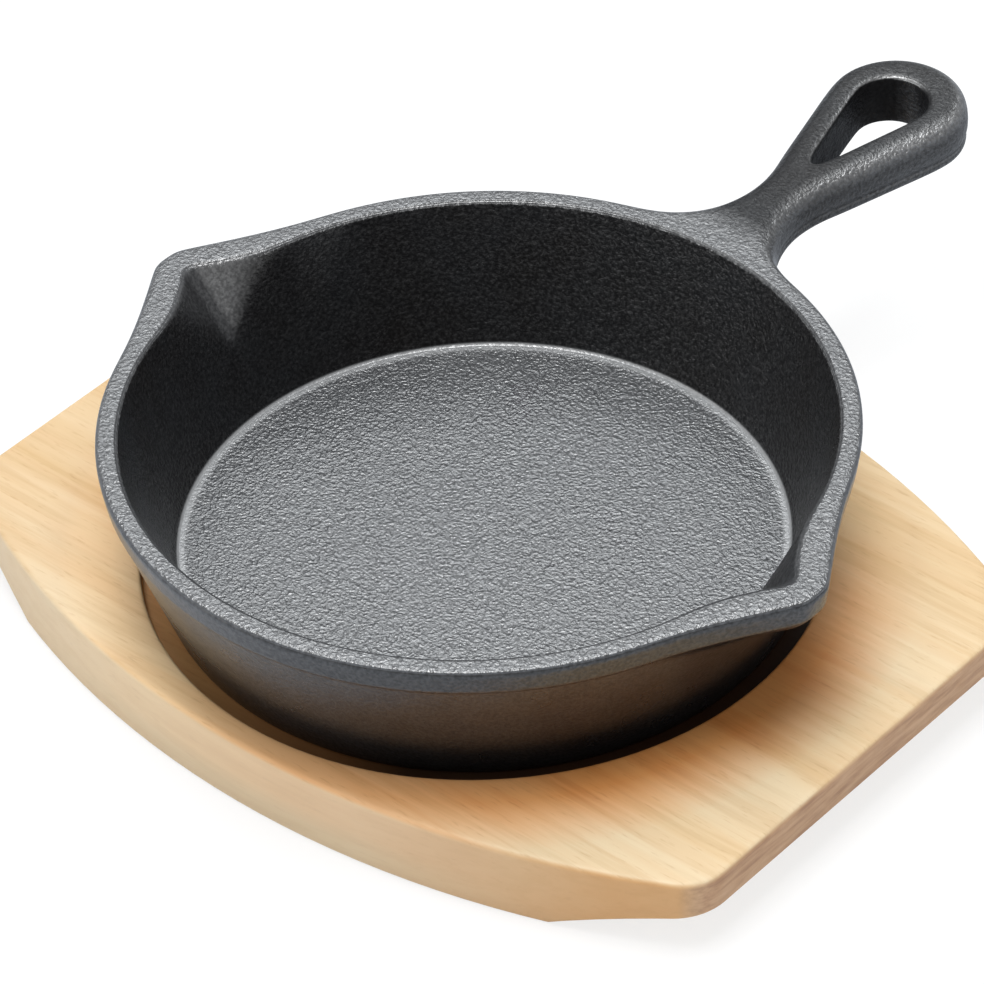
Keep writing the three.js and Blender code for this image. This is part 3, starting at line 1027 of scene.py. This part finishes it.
# Painted shade: the front face darkens and warms towards the right.
front_corner_shade = times(tree, spread(tree, facing["Y"], -0.3, -0.8),
                     spread(tree, apart["X"], 30 * mm, 80 * mm))
plank_tone = tinted(tree, front_corner_shade, plank_tone, corner_shade_tint)
rings = noise(tree, stretched(tree, on_piece, (1.0, 0.12, 1.0)), ring_scale, 3.0, 0.6)
sawn_end = spread(tree, maths(tree, "ABSOLUTE", facing["X"]), 0.55, 0.9)
wood_colour = mixed(tree, sawn_end, plank_tone, colours(tree, rings, end_colours))
tree.links.new(wood_colour, surface.inputs["Base Color"])
print("ends in", len(end_colours), "browns")

# %% [markdown]
# Sanded wood is nearly matt. The dark growth lines are a little more open than the wood between
# them and take less polish, and a shallow bump lets a low light catch the lines and the pores.

# %% Finish the wood
wood_roughness = (0.6, 0.48)
pore_share = 0.6
grain_depth = 0.06 * mm

tree.links.new(spread(tree, lines, 0.3, 0.7, *wood_roughness), surface.inputs["Roughness"])
relief = plus(tree, lines, times(tree, flecks, pore_share))
bump = add_node(tree, "Bump", {"Height": relief, "Strength": 0.5, "Distance": grain_depth})
tree.links.new(bump.outputs["Normal"], surface.inputs["Normal"])
board_piece.data.materials.append(wood)
print("wood of", len(tree.nodes), "nodes")

# %% [markdown]
# ## Floor and light
# A product is photographed on a white sweep under soft boxes. The floor here is one large sheet of
# paper. It lies a hair below the board, because two faces in exactly the same plane would flicker
# through each other.

# %% Paper floor
floor_reach = 6
floor_drop = 0.1 * mm

floor_mesh = bmesh.new()
bmesh.ops.create_grid(floor_mesh, x_segments=1, y_segments=1, size=floor_reach)
floor_data = bpy.data.meshes.new("paper_floor")
floor_mesh.to_mesh(floor_data)
floor_mesh.free()
floor = bpy.data.objects.new("paper_floor", floor_data)
bpy.context.scene.collection.objects.link(floor)
floor.location.z = -floor_drop
print("floor", 2 * floor_reach, "m wide")

# %% [markdown]
# Part of the paper's white is painted on for the camera, so that the background stays white without
# more light on the object. The rest is lit, so that the floor keeps the object's soft shadow. Light
# Path tells the rays apart: in reflections the paper is a dimmer, cooler grey, which keeps the
# skillet's outer wall dark.

# %% White paper
bounced_white = (0.9, 0.9, 0.9, 1)
mirrored_grey = (0.54, 0.57, 0.62, 1)
shadow_grey = (0.24, 0.24, 0.24, 1)
painted_white = 0.77

paper = bpy.data.materials.new("white_paper")
paper.use_nodes = True
tree = paper.node_tree
tree.nodes.clear()
rays = add_node(tree, "LightPath", {}).outputs
seen = maths(tree, "MAXIMUM", rays["Is Camera Ray"], rays["Is Transmission Ray"])
bounced, mirrored, shaded = [
    add_node(tree, "BsdfDiffuse", {"Color": colour}).outputs[0]
    for colour in (bounced_white, mirrored_grey, shadow_grey)
]
painted = add_node(tree, "Emission", {"Color": (1, 1, 1, 1), "Strength": painted_white}).outputs[0]
lit_paper = add_node(tree, "MixShader", {0: rays["Is Glossy Ray"], 1: bounced, 2: mirrored}).outputs[0]
seen_paper = add_node(tree, "AddShader", {0: shaded, 1: painted}).outputs[0]
whole_paper = add_node(tree, "MixShader", {0: seen, 1: lit_paper, 2: seen_paper}).outputs[0]
add_node(tree, "OutputMaterial", {"Surface": whole_paper})
floor_data.materials.append(paper)
print("paper of", len(tree.nodes), "nodes")

# %% [markdown]
# A broad soft box hangs high behind the object, opposite the camera. Level iron mirrors that part of
# the room, so the bowl's floor and the rim turn silver while the walls stay dark. A smaller one
# overhead lights the wood evenly, and a weak one, low on the camera's left, lifts the shadows there.
# Area lamps are used because their size makes the shadows soft.

# %% Soft boxes
lamp_aim = Vector((0, 0, 0.03))


def soft_box(name, lamp_place, size, power, colour):
    """A square lamp that faces the skillet."""
    data = bpy.data.lights.new(name, "AREA")
    data.size = size
    data.energy = power
    data.color = colour
    lamp = bpy.data.objects.new(name, data)
    towards_aim = (Vector(lamp_place) - lamp_aim).to_track_quat("Z", "Y")
    lamp.matrix_world = Matrix.LocRotScale(Vector(lamp_place), towards_aim, None)
    bpy.context.scene.collection.objects.link(lamp)
    print(name, "of", power, "W")


soft_box("broad_soft_box", (-0.372, 0.372, 1.109), 1.2, 9.9, (0.93, 0.97, 1.0))
soft_box("overhead_soft_box", (0.0, -0.1, 1.22), 0.6, 7.9, (1.0, 1.0, 1.0))
soft_box("front_soft_box", (-0.7, -0.8, 0.55), 0.8, 1.8, (1.0, 0.99, 0.97))

# %% [markdown]
# The rest of the light is the room itself: a dim, even grey from all sides. The Standard view shows
# a colour about as it is written.

# %% Room and view
room_colour = (0.98, 0.99, 1.0, 1)
room_strength = 0.45

world = bpy.data.worlds.new("studio_room")
world.use_nodes = True
background = world.node_tree.nodes["Background"]
background.inputs["Color"].default_value = room_colour
background.inputs["Strength"].default_value = room_strength
bpy.context.scene.world = world
bpy.context.scene.view_settings.view_transform = "Standard"
print("room at", room_strength)
